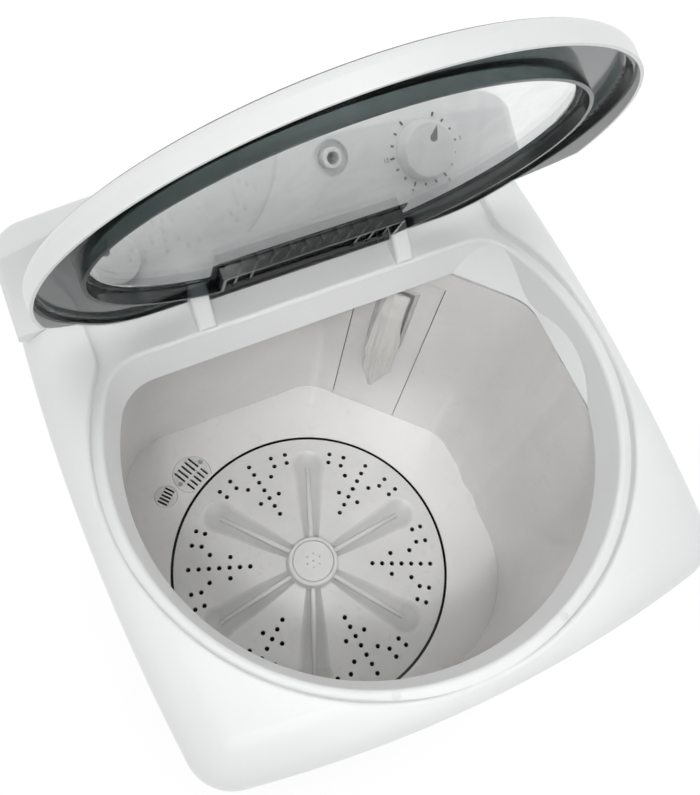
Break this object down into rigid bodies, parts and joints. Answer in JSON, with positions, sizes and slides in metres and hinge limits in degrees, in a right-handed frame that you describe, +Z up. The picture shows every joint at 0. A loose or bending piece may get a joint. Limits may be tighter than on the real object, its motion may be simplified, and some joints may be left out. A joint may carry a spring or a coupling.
{
  "type": "semi-automatic washing machine",
  "caption": "White portable single-tub washing machine with a raised rear console, rotary knobs, a smoked hinged lid with a clear window and an offset pulsator in a fluted tub.",
  "frame": {"origin": "on the floor, in the middle of the machine's footprint", "axes": "+Z up, +X to the right seen from the front, +Y to the back where the console and the lid's hinge are"},
  "size_m": [0.5, 0.4959, 1.1672],
  "materials": {
    "white_plastic": "glossy white moulded polypropylene",
    "tub_plastic": "glossy off-white moulded polypropylene",
    "smoke_plastic": "clear grey-green smoked plastic",
    "clear_plastic": "polished, nearly clear plastic",
    "grey_plastic": "plain moulded plastic",
    "rubber": "black rubber",
    "steel": "plated steel",
    "cast_aluminium": "cast, machined on its faces",
    "bronze": "oil-soaked sintered bronze",
    "dark_paint": "grey enamel on sheet steel",
    "net_fabric": "fine off-white net"
  },
  "bodies": {
    "machine_body": {"feet": "rubber", "base_frame": "grey_plastic", "cabinet_shell": "white_plastic", "rear_cover": "white_plastic", "rear_cover_screws": "steel", "cord_gland": "grey_plastic", "top_deck": "white_plastic", "deck_screws": "steel", "lid_buffers": "rubber", "hinge_arm_left": "white_plastic", "hinge_arm_right": "white_plastic", "control_console": "white_plastic", "water_inlet": "grey_plastic", "inlet_chute": "grey_plastic", "timer_body": "grey_plastic", "timer_screws": "steel", "spindle_bush": "grey_plastic", "wash_tub": "tub_plastic", "filter_channel_cover": "tub_plastic", "drain_grille": "tub_plastic", "drain_grille_screws": "steel", "bleed_grille": "tub_plastic", "bearing_housing": "cast_aluminium", "shaft_bushes": "bronze", "shaft_seal": "rubber", "housing_bolts": "steel", "drive_belt": "rubber", "motor_body": "dark_paint", "motor_bracket": "dark_paint", "motor_grommets": "rubber", "motor_bolts": "steel", "run_capacitor": "grey_plastic", "drain_sump": "grey_plastic", "drain_valve_body": "grey_plastic", "valve_cap": "grey_plastic", "valve_spring": "steel", "drain_outlet": "grey_plastic"},
    "lid": {"lid_rim": "white_plastic", "lid_frame": "smoke_plastic", "lid_window": "clear_plastic", "lid_hinge_pins": "steel"},
    "pulsator_drive": {"pulsator": "tub_plastic", "pulsator_cap": "tub_plastic", "pulsator_screw": "steel", "pulsator_shaft": "steel", "driven_pulley": "grey_plastic", "pulley_nut": "steel"},
    "motor_drive": {"motor_rotor": "steel", "drive_pulley": "cast_aluminium"},
    "timer_dial": {"timer_knob": "white_plastic", "timer_pointer": "grey_plastic", "timer_spindle": "steel"},
    "drain_dial": {"drain_knob": "white_plastic", "drain_pointer": "grey_plastic", "drain_spindle": "steel"},
    "drain_plunger": {"valve_plunger": "grey_plastic", "valve_seal": "rubber", "pull_strap": "grey_plastic"},
    "lint_filter": {"lint_filter_frame": "tub_plastic", "lint_filter_bag": "net_fabric"}
  },
  "joints": [
    {"name": "lid_hinge", "type": "hinge", "parent": "machine_body", "child": "lid", "pos_m": [0, 0.15, 0.8015], "axis": [-1, 0, 0], "range_deg": [-75, 22]},
    {"name": "pulsator_spin", "type": "hinge", "parent": "machine_body", "child": "pulsator_drive", "pos_m": [-0.032, -0.032, 0.37], "axis": [0, 0, 1], "continuous": true},
    {"name": "motor_spin", "type": "hinge", "parent": "machine_body", "child": "motor_drive", "pos_m": [0.09952, 0.09952, 0.198], "axis": [0, 0, 1], "continuous": true},
    {"name": "timer_turn", "type": "hinge", "parent": "machine_body", "child": "timer_dial", "pos_m": [0.146, 0.208, 0.82805], "axis": [0, -0.6252, 0.7804], "range_deg": [-300, 0]},
    {"name": "drain_turn", "type": "hinge", "parent": "machine_body", "child": "drain_dial", "pos_m": [-0.149, 0.2, 0.82164], "axis": [0, -0.6252, 0.7804], "range_deg": [-90, 0]},
    {"name": "valve_lift", "type": "slide", "parent": "machine_body", "child": "drain_plunger", "axis": [0, 0, 1], "range_m": [0, 0.008], "deforming": ["valve_spring"]},
    {"name": "filter_pull", "type": "slide", "parent": "machine_body", "child": "lint_filter", "axis": [-0.7071, -0.7071, 0], "range_m": [0, 0.06]}
  ],
  "couplings": [
    {"joint": "motor_spin", "follows": "pulsator_spin", "ratio": 4.25},
    {"joint": "valve_lift", "follows": "drain_turn", "m_per_rad": -0.0050925}
  ]
}
